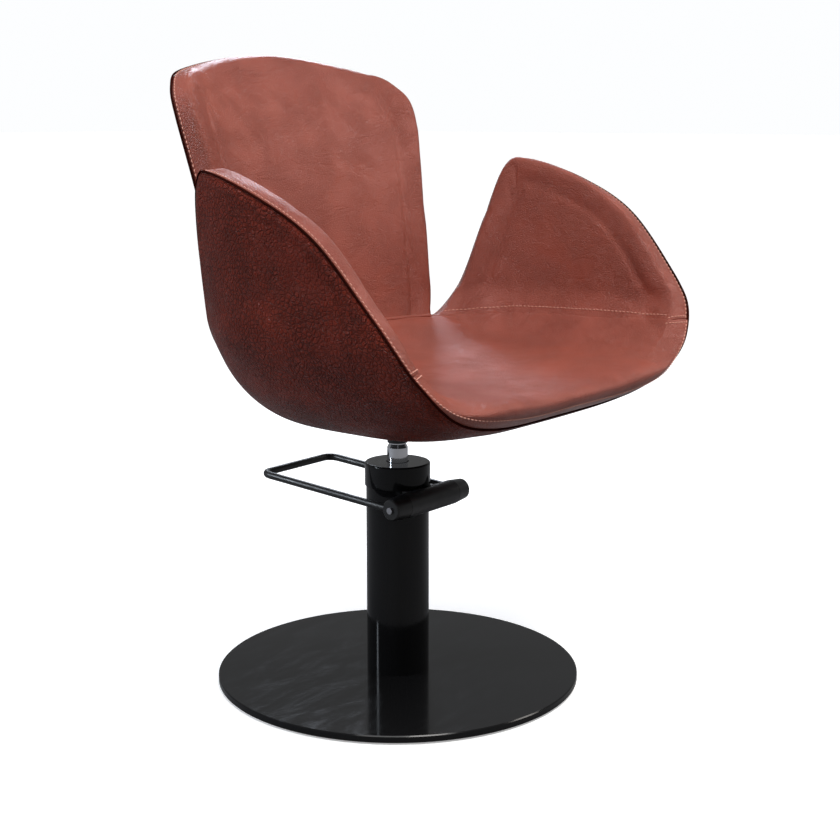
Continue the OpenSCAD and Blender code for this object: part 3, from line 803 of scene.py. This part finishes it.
def lip(loop, t):
    """Front edge of the seat, from its top (t = 0) to the welt (t = 1). It is flush with the arms'
    rim bands beside them, and further in it is a full rounded lip."""
    place, _ = split_place(loop)
    rim_z = rim(place)[..., 1]
    rise = LIP_LOW + (LIP_RISE - LIP_LOW) * smooth((CORNER - place) / LIP_FADE)
    turn = math.pi / 2 * (1 - t)
    z = rim_z + rise * np.sin(turn)
    inset = WELT_INSET + (BAND_T - WELT_INSET) * (1 - np.cos(turn))
    return skin(loop, (z - SHELL_Z) / (rim_z - SHELL_Z), SHELL_Z, inset, 0)


def seam_height(place):
    """Height of the seam between the seat and the arms or back."""
    corner_z = rim(np.array(CORNER))[1] + LIP_LOW
    share = np.clip((place - CORNER) / (NOTCH - CORNER), 0, 1)
    return corner_z + (SEAM_Z_NOTCH - corner_z) * share


def side_tuck(loop, t):
    """Edge of the seat beside the arms and back: it turns down into the crease."""
    place, _ = split_place(loop)
    rim_z = rim(place)[..., 1]
    z = seam_height(place) - TUCK_DROP * t**2
    inset = BAND_T - TUCK_UNDER * np.sin(t * math.pi / 2) + CREASE_GAP
    return skin(loop, (z - SHELL_Z) / (rim_z - SHELL_Z), SHELL_Z, inset, 0)


def seat_edge(loop, t):
    """Points of the seat's edge all round: the lip in front, and the tuck at the sides and the back."""
    place, _ = split_place(loop)
    return np.where((place <= CORNER)[:, None], lip(loop, np.array(t)), side_tuck(loop, np.array(t)))


def seat_top(front, left, back, right):
    """Even grid of points between the four edges of the seat, dished in the middle."""
    u = np.linspace(0, 1, SEAT_COLS)[None, :, None]
    v = np.concatenate([[0], np.linspace(FIRST_ROW, 1, SEAT_ROWS - 1)])[:, None, None]
    top = (1 - v) * front[None] + v * back[None] + (1 - u) * right[:, None] + u * left[:, None]
    top -= (1 - v) * ((1 - u) * front[0] + u * front[-1]) + v * ((1 - u) * back[0] + u * back[-1])
    top[..., 2] -= (DISH * (1 - np.abs(2 * u - 1)**2.6) * np.sin(math.pi * v)**1.5)[..., 0]
    return top


def seat_rings(loop):
    """Rings of points round the seat, from just below its top edge down to its hidden underside."""
    place, _ = split_place(loop)
    rim_z = rim(place)[:, 1]
    rings = [seat_edge(loop, t) for t in np.linspace(0, 1, LIP_STEPS)[1:]]
    floor_z = SHELL_Z + SEAT_FLOOR
    low_z = np.minimum(rim_z - SEAT_UNDER_RIM, PAD_LOW)
    for share in (1.0, 0.5, 0.0):
        z = floor_z + (low_z - floor_z) * share
        rings.append(skin(loop, (z - SHELL_Z) / (rim_z - SHELL_Z), SHELL_Z, SEAT_INSET, 0))
    return np.array(rings)


def seat_hold(loop, border, top_size, ring_count):
    """How firmly each point of the seat is held: the top is free, and its seams and hidden sides are not."""
    place, _ = split_place(loop)
    hold = np.zeros(top_size + ring_count * len(loop))
    ring_hold = np.clip((np.arange(ring_count) - FREE_RINGS) / FADE_RINGS, 0, 1)[:, None]
    corner_hold = smooth(1 - (CORNER - place) / CORNER_FADE)[None]
    hold[top_size:] = np.maximum(ring_hold, corner_hold).ravel()
    hold[border[:SEAT_COLS]] = corner_hold[0, :SEAT_COLS]
    hold[border[SEAT_COLS:]] = SEAM_HOLD
    hold[top_size:][np.tile(place > CORNER, ring_count)] = 1
    return hold


def make_seat():
    """Seat of one leather panel: an even grid on top, and rings round it for the lip and the tucks."""
    start = CORNER + 2 * SEAM
    front = panel_places(-CORNER, CORNER, SEAT_COLS - 2)
    left = np.concatenate([[CORNER], np.linspace(start, SEAT_BACK, SEAT_ROWS - 1)])
    back = np.linspace(SEAT_BACK, 2 - SEAT_BACK, SEAT_COLS)
    right = 2 - left
    front_edge, back_edge = seat_edge(front, 0.0), seat_edge(back, 0.0)[::-1]
    top = seat_top(front_edge, seat_edge(left, 0.0), back_edge, seat_edge(right, 0.0))
    number = np.arange(SEAT_ROWS * SEAT_COLS).reshape(SEAT_ROWS, SEAT_COLS)
    border = np.concatenate([number[0], number[1:, -1], number[-1, -2::-1], number[-2:0:-1, 0]])
    loop = np.concatenate([front, left[1:], back[1:], right[-2:0:-1]])
    rings = seat_rings(loop)
    count, size = len(rings), len(loop)
    first = number.size
    faces = grid_faces(SEAT_ROWS, SEAT_COLS)
    for i in range(size):
        j = (i + 1) % size
        faces.append((border[i], border[j], first + j, first + i))
    faces += [tuple(first + corner for corner in face) for face in grid_faces(count, size, False, True)]
    faces += ladder(size, first + (count - 1) * size)
    points = np.concatenate([top.reshape(-1, 3), rings.reshape(-1, 3)])
    seat = make_mesh("seat_leather", points, faces, inner_leather)
    stretch_over_foam(seat, seat_hold(loop, border, first, count), SEAT_STRETCH)
    soften(seat)
    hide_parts("seat_cushion")


def make_piping():
    """Rolled leather edge along the seam between the seat and the back."""
    loop = np.linspace(NOTCH, 2 - NOTCH, PIPING_COLS)
    place, _ = split_place(loop)
    rim_z = rim(place)[:, 1]
    up = (seam_height(place) + CREASE_GAP - SHELL_Z) / (rim_z - SHELL_Z)
    path = skin(loop, up, SHELL_Z, BAND_T + PIPING_OUT, 0)
    roll = tube("seat_back_piping", path, PIPING_R, inner_leather)
    soften(roll)


# ---- Outer leather ----

COVER_T = 1.6 * MM
COVER_ROWS = 60
SIDE_COVER_COLS = 260
BACK_COVER_COLS = 150
# The skin swells over a soft roll beside the welt and dives under it at the very edge
ROLL_HEIGHT = 1.6 * MM
ROLL_PLACE = 12 * MM
ROLL_WIDTH = 7 * MM
DIVE_DEPTH = 2.6 * MM
DIVE_WIDTH = 3 * MM
# The cover's edge and the welt's cord lie a little below the rim
COVER_DEPTH = 2.5 * MM
WELT_DEPTH = 0.6 * MM
WELT_CORD_INSET = 1.8 * MM
WELT_R = 1.7 * MM
WELT_COLS = 520


def cover_grid(start, end, count):
    """Outer skin from under the bowl up to the welt, with a rolled edge."""
    loop = np.linspace(start, end, count)[None]
    # The rows are closer together at the foot and at the welt
    up = 1 - (1 - np.linspace(0, 1, COVER_ROWS)[:, None]**1.3)**1.25
    phi, z, side = on_column(loop, up, SHELL_Z, COVER_DEPTH)
    reach = rim_distance(phi, z)
    roll = ROLL_HEIGHT * np.exp(-((reach - ROLL_PLACE) / ROLL_WIDTH)**2)
    dive = DIVE_DEPTH * np.exp(-reach / DIVE_WIDTH)
    return wall(phi, z, dive - roll, side)


def make_covers():
    """Outer leather: one skin for both sides and the front, and one for the back."""
    side_grid = cover_grid(-NOTCH + SEAM, NOTCH - SEAM, SIDE_COVER_COLS)
    back_grid = cover_grid(NOTCH + SEAM, 2 - NOTCH - SEAM, BACK_COVER_COLS)
    sides = sheet("outer_leather_front", side_grid, outer_leather)
    back = sheet("outer_leather_back", back_grid, outer_leather)
    for piece in (sides, back):
        thicken(piece, COVER_T)
        soften(piece)
    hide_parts("outer_cover")
    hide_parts("back_cover")


def make_welt():
    """Cord between the inner and the outer leather, all round the rim. The cord is real, and its dark tone
    is painted shade of the welt groove.
    """
    loop = np.linspace(0, 2, WELT_COLS, endpoint=False)
    path = skin(loop, 1, SHELL_Z, WELT_CORD_INSET, WELT_DEPTH)
    welt = tube("rim_welt", path, WELT_R, welt_groove_shade_leather, closed=True)
    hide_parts("trim_welt")


# ---- Dust cloth under the seat ----

DUST_CLOTH_T = 0.5 * MM
SOCKET_HOLE_R = 20 * MM
FOOT_INSET = 3 * MM
FOOT_GAP = 1 * MM
SAG = 1.2 * MM
SAGS = 9
# The cloth sags outside this share of its radius, and its sag grows to full over the next share
SAG_FROM = 0.75
SAG_FADE = 0.1


def make_dust_cloth():
    """Thin cloth round the socket plate, sagging a little between its staples."""
    outer_r = min(UNDER_HIGH.x, -UNDER_LOW.y)
    angle = np.linspace(0, 2 * math.pi, 96, endpoint=False)
    rows = []
    level = np.full_like(angle, SHELL_Z)
    foot = wall(np.degrees(angle), level, FOOT_INSET, 1)
    hole = np.stack([SOCKET_HOLE_R * np.cos(angle), SOCKET_HOLE_R * np.sin(angle), level], axis=-1)
    for share in np.linspace(0, 1, 12):
        ring = hole + (foot - hole) * share
        sag = SAG * math.sin(math.pi * share) * (0.5 + 0.5 * np.sin(SAGS * angle))
        reach = np.linalg.norm(ring[:, :2], axis=1)
        out = np.clip((reach - outer_r * SAG_FROM) / (SAG_FADE * outer_r), 0, 1)
        ring[:, 2] = SHELL_Z - FOOT_GAP - sag * out
        rows.append(ring)
    cloth = sheet("dust_cloth", np.array(rows), cloth_material, close_cols=True)
    thicken(cloth, DUST_CLOTH_T)
    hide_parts("under_cover")


# ---- Stitches ----

STITCH_W = 1.9 * MM
STITCH_LIFT = 0.5 * MM
# Share of a stitch's step that is bare leather, and how far its ends dip, as a share of its width
STITCH_GAP = 0.28
STITCH_DIP = 0.35
STITCH_SIDES = 6
STITCH_RINGS = 5
STITCH_STEP = 7 * MM
CORNER_STEP = 5.5 * MM
# Place of the rim's row on the band, from its inner edge (0) to the welt (1)
RIM_ROW = 0.70
# Distance of the corner rows from their seam, as a share of the loop
CORNER_ROW = 0.0035
SIDE_ROW_UP = 6 * MM


def stitch_points(a, b, normal):
    """Points of one stitch from a to b, ring by ring: thickest in the middle, with its ends dipped in."""
    along = (b - a) * (1 - STITCH_GAP)
    start = a + (b - a) * STITCH_GAP / 2
    across = np.cross(along, normal)
    across /= np.linalg.norm(across)
    points = []
    for k in range(STITCH_RINGS):
        t = k / (STITCH_RINGS - 1)
        radius = STITCH_W / 2 * (0.35 + 0.65 * math.sin(math.pi * (0.1 + 0.8 * t)))
        lift = STITCH_LIFT - STITCH_DIP * STITCH_W * (1 - math.sin(math.pi * t))
        centre = start + along * t + normal * lift
        for j in range(STITCH_SIDES):
            turn = 2 * math.pi * j / STITCH_SIDES
            points.append(centre + radius * (across * math.cos(turn) + normal * math.sin(turn)))
    return points


def stitch_row(name, path, normals):
    """One small rounded solid for each stitch between neighbouring points of the path."""
    points, faces = [], []
    sides = range(STITCH_SIDES)
    last = (STITCH_RINGS - 1) * STITCH_SIDES
    for i in range(len(path) - 1):
        first = len(points)
        points += stitch_points(path[i], path[i + 1], normals[i] / np.linalg.norm(normals[i]))
        for face in grid_faces(STITCH_RINGS, STITCH_SIDES, False, True):
            faces.append(tuple(first + corner for corner in face))
        faces.append(tuple(first + j for j in sides))
        faces.append(tuple(first + last + j for j in reversed(sides)))
    row = make_mesh(name, points, faces, thread_material)


def evenly(path, step):
    """Points spaced evenly along a path."""
    length = np.concatenate([[0], np.cumsum(np.linalg.norm(np.diff(path, axis=0), axis=1))])
    marks = np.arange(0, length[-1], step)
    return np.stack([np.interp(marks, length, path[:, k]) for k in range(3)], axis=-1)


def surface_of(piece):
    """The finished surface of a piece, for laying stitches on it."""
    return BVHTree.FromObject(piece, bpy.context.evaluated_depsgraph_get())


def laid_on(surface, path):
    """Each point of a path moved to the nearest point of a surface, and the surface's normals there."""
    found = [surface.find_nearest(Vector(p)) for p in path]
    return np.array([f[0] for f in found]), np.array([f[1] for f in found])


def sew(name, piece, path, step=STITCH_STEP):
    """A row of stitches along a path, laid on a piece."""
    laid, normals = laid_on(surface_of(piece), evenly(path, step))
    stitch_row(name, laid, normals)


def band_path(start, end, t):
    """Path along the rim band between two loop places, at one place t across the band."""
    loop = np.linspace(start, end, 400)
    inset, depth = band_profile(np.array(t))
    return skin(loop, 1, PAD_LOW, inset, depth)


def sew_rim():
    """Stitches all round the rim band, one row for each panel."""
    piece = bpy.data.objects
    start = CORNER + 2 * SEAM
    sew("stitches_arm_left", piece["arm_leather_left"], band_path(start, NOTCH, RIM_ROW))
    sew("stitches_arm_right", piece["arm_leather_right"], band_path(2 - NOTCH, 2 - start, RIM_ROW))
    sew("stitches_back", piece["back_leather"], band_path(NOTCH, 2 - NOTCH, RIM_ROW))
    loop = np.linspace(-CORNER, CORNER, 400)
    sew("stitches_front", piece["seat_leather"], lip(loop, np.array(RIM_ROW)))


def sew_corners():
    """Two rows of stitches across the rim band, one on each side of the seam between arm and seat."""
    piece = bpy.data.objects
    inset, depth = band_profile(np.linspace(0.12, 0.92, 60))
    for side in ("left", "right"):
        arm_row = ("1", "arm_leather_" + side, CORNER + CORNER_ROW)
        seat_row = ("2", "seat_leather", CORNER - CORNER_ROW)
        for number, cloth, place in (arm_row, seat_row):
            loop = np.full_like(inset, place if side == "left" else 2 - place)
            path = skin(loop, 1, PAD_LOW, inset, depth)
            sew("stitches_corner_" + side + "_" + number, piece[cloth], path, CORNER_STEP)


def sew_sides():
    """Topstitching on the arms, just above their seam with the seat."""
    fore = CORNER + 0.01
    for name, start, end in (("left", fore, SEAT_BACK), ("right", 2 - SEAT_BACK, 2 - fore)):
        loop = np.linspace(start, end, 200)
        place, _ = split_place(loop)
        z = seam_height(place) + SIDE_ROW_UP
        _, top_z = rim_inside(place, 0)
        path = skin(loop, (z - PAD_LOW) / (top_z - PAD_LOW), PAD_LOW, BAND_T, 0)
        sew("stitches_side_" + name, bpy.data.objects["arm_leather_" + name], path)


# ---- Room: plain floor, soft light, camera ----

FLOOR_REACH = 60.0
FLOOR_GLOW = 0.36
BACKDROP_SEEN = 1.0
BACKDROP_LIGHT = 0.25


def floor_look():
    """Pale floor that throws back less light than the camera sees, so that the underside stays dark."""
    n = Nodes("studio_floor")
    pale = n.mix(n.noise(3), rgb(250, 250, 250), rgb(246, 246, 246))
    seen = n.tree.nodes.new("ShaderNodeLightPath").outputs["Is Camera Ray"]
    n.set(Base_Color=n.mix(seen, rgb(130, 130, 132), pale))
    n.set(Roughness=0.8, Specular_IOR_Level=0.1, Emission_Color=rgb(255, 255, 255))
    n.set(Emission_Strength=n.math("MULTIPLY", seen, FLOOR_GLOW))
    return n.material


def make_floor():
    """Floor that reaches far behind the chair."""
    r = FLOOR_REACH
    mesh = bpy.data.meshes.new("studio_floor")
    mesh.from_pydata([(-r, -r, 0), (r, -r, 0), (r, r, 0), (-r, r, 0)], [], [(0, 1, 2, 3)])
    mesh.materials.append(floor_look())
    floor = bpy.data.objects.new("studio_floor", mesh)
    bpy.context.scene.collection.objects.link(floor)


def make_backdrop():
    """Backdrop that is white to the camera, and dimmer as a light and in reflections."""
    world = bpy.data.worlds.new("studio")
    world.use_nodes = True
    tree = world.node_tree
    path = tree.nodes.new("ShaderNodeLightPath")
    strength = tree.nodes.new("ShaderNodeMapRange")
    tree.links.new(path.outputs["Is Camera Ray"], strength.inputs["Value"])
    strength.inputs["To Min"].default_value = BACKDROP_LIGHT
    strength.inputs["To Max"].default_value = BACKDROP_SEEN
    tree.links.new(strength.outputs["Result"], tree.nodes["Background"].inputs["Strength"])
    tree.nodes["Background"].inputs["Color"].default_value = (0.98, 0.99, 1.0, 1.0)
    bpy.context.scene.world = world
    bpy.context.scene.view_settings.view_transform = "Standard"


def place_light(name, data, place, aim):
    """Puts a light at a place and turns it towards its aim."""
    light = bpy.data.objects.new(name, data)
    light.location = place
    light.rotation_euler = (Vector(aim) - Vector(place)).to_track_quat("-Z", "Y").to_euler()
    bpy.context.scene.collection.objects.link(light)


def soft_light(name, place, aim, size, power, colour):
    """Rectangular soft box: size in metres, power in watts."""
    data = bpy.data.lights.new(name, "AREA")
    data.shape = "RECTANGLE"
    data.size, data.size_y = size
    data.energy = power
    data.color = colour
    place_light(name, data, place, aim)


def sky_light(name, place, aim, strength, spread):
    """Far light over the whole scene: its spread in degrees makes its shadows soft."""
    data = bpy.data.lights.new(name, "SUN")
    data.energy = strength
    data.angle = math.radians(spread)
    place_light(name, data, place, aim)


CAMERA_DISTANCE = 2.35
CAMERA_HEIGHT = 0.895
CAMERA_TURN = math.radians(-50.6)
CAMERA_PITCH = math.radians(11.4)
CAMERA_YAW = math.radians(0.87)
SENSOR_WIDTH = 36.0
# Focal length as a share of the sensor's width
FOCAL_SHARE = 1.8095


def make_camera():
    """Camera at the photograph's viewing angle, set by its distance and height from the column's foot."""
    data = bpy.data.cameras.new("camera")
    data.sensor_width = SENSOR_WIDTH
    data.lens = SENSOR_WIDTH * FOCAL_SHARE
    camera = bpy.data.objects.new("camera", data)
    towards = Vector((-math.sin(CAMERA_TURN), math.cos(CAMERA_TURN), 0))
    right = Vector((towards.y, -towards.x, 0))
    camera.location = -CAMERA_DISTANCE * towards + Vector((0, 0, CAMERA_HEIGHT))
    level = towards * math.cos(CAMERA_YAW) + right * math.sin(CAMERA_YAW)
    look = level * math.cos(CAMERA_PITCH) - Vector((0, 0, math.sin(CAMERA_PITCH)))
    camera.rotation_euler = look.to_track_quat("-Z", "Y").to_euler()
    bpy.context.scene.collection.objects.link(camera)
    bpy.context.scene.camera = camera


def light_room():
    """Soft overhead light, a key and a front light on the seat, and two cool lights for the edges."""
    sky_light("sky", (-0.8, -0.9, 3.0), (0, 0, 0), 1.7, 40)
    soft_light("key", (-0.5, -1.1, 2.3), (0.1, 0.05, 0.6), (0.7, 0.7), 20, (1, 0.97, 0.94))
    soft_light("front", (1.7, -1.5, 2.1), (0, 0.1, 0.75), (0.9, 0.9), 24, (1, 0.95, 0.9))
    soft_light("rear", (1.7, 1.7, 1.95), (0, -0.1, 0.5), (0.6, 0.9), 20, (0.8, 0.87, 1))
    soft_light("window", (-2.1, 1.9, 1.5), (0, 0, 0.7), (0.3, 1.3), 40, (0.82, 0.9, 1))


dress_hard_parts()
make_spring()
make_arms()
make_back()
make_seat()
make_piping()
make_covers()
make_welt()
make_dust_cloth()
sew_rim()
sew_corners()
sew_sides()
make_floor()
make_backdrop()
make_camera()
light_room()
